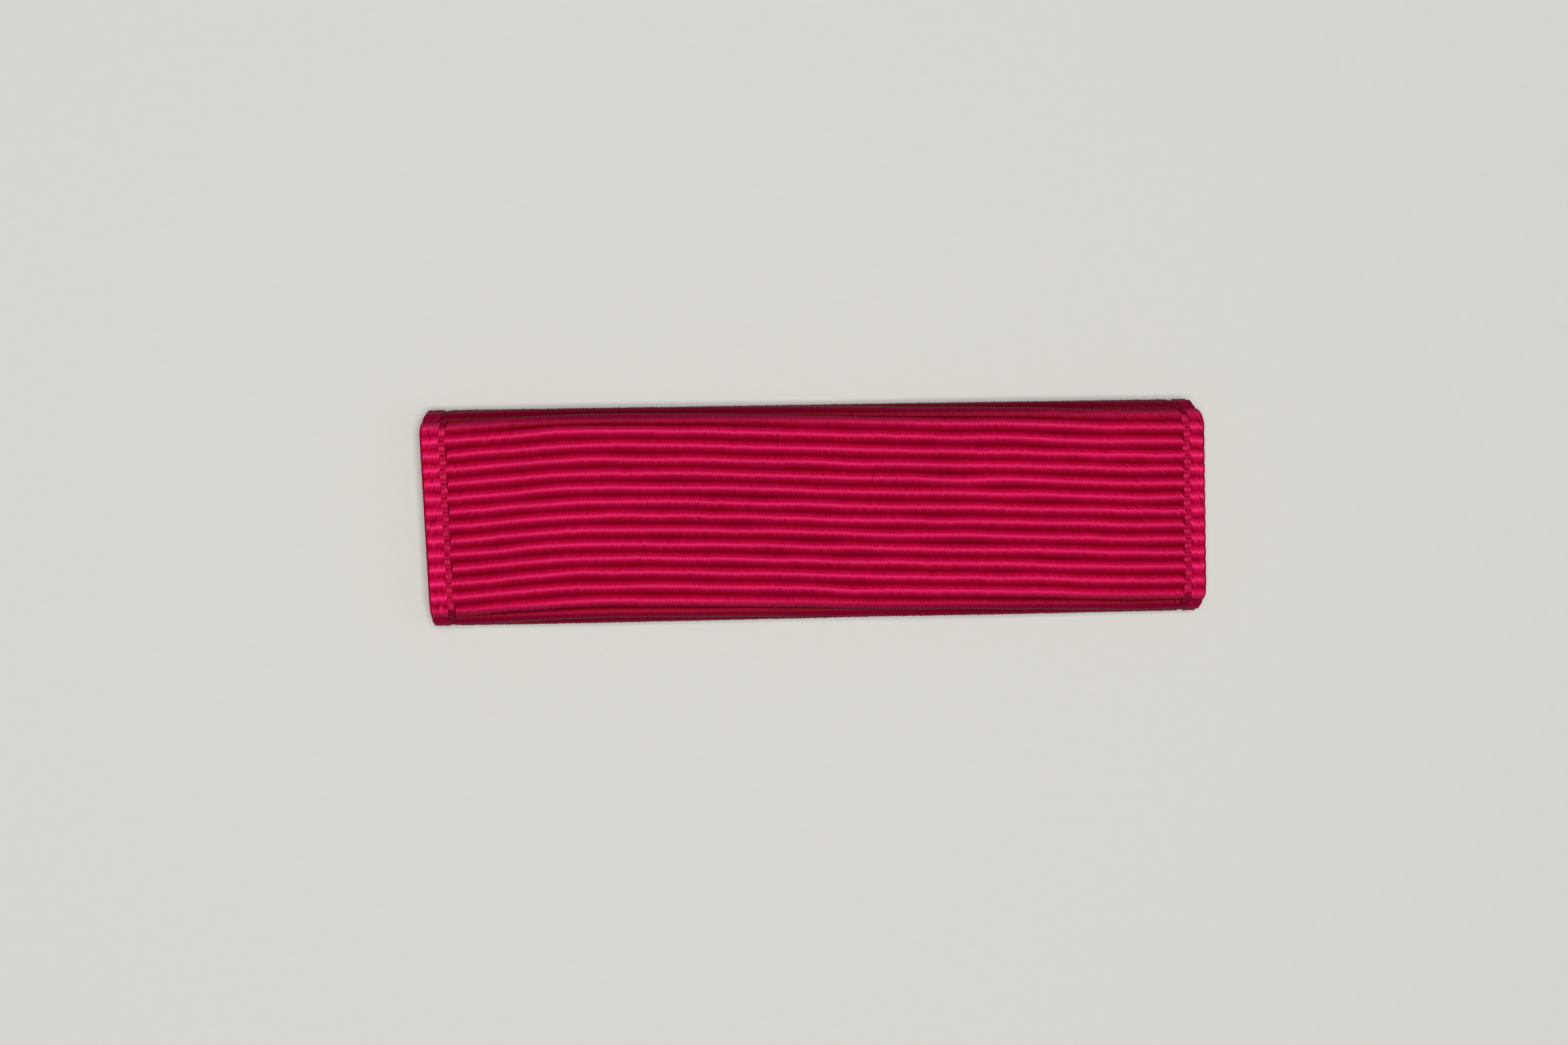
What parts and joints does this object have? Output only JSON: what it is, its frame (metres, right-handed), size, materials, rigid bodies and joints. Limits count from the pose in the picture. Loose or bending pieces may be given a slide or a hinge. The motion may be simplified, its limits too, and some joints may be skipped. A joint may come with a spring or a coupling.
{
  "type": "ribbon bar",
  "caption": "Flat medal ribbon bar: ribbed crimson ribbon wound round a thin brass tray, with a straight brooch pin lying in its open back.",
  "frame": {"origin": "centre of the bounding box's base, on the surface that the back laps lie on", "axes": "+X along the bar, +Y across it towards the upper long edge of the face, +Z out of the ribbon's face"},
  "size_m": [0.0348, 0.0096, 0.0027],
  "materials": {
    "crimson_ribbon": "silky ribbed weave",
    "tray_brass": "rolled sheet, bright with slight tarnish",
    "pin_steel": "drawn wire, nickel plated"
  },
  "bodies": {
    "root": {"ribbon": "crimson_ribbon", "bar": "tray_brass", "pin": "pin_steel"}
  },
  "joints": []
}
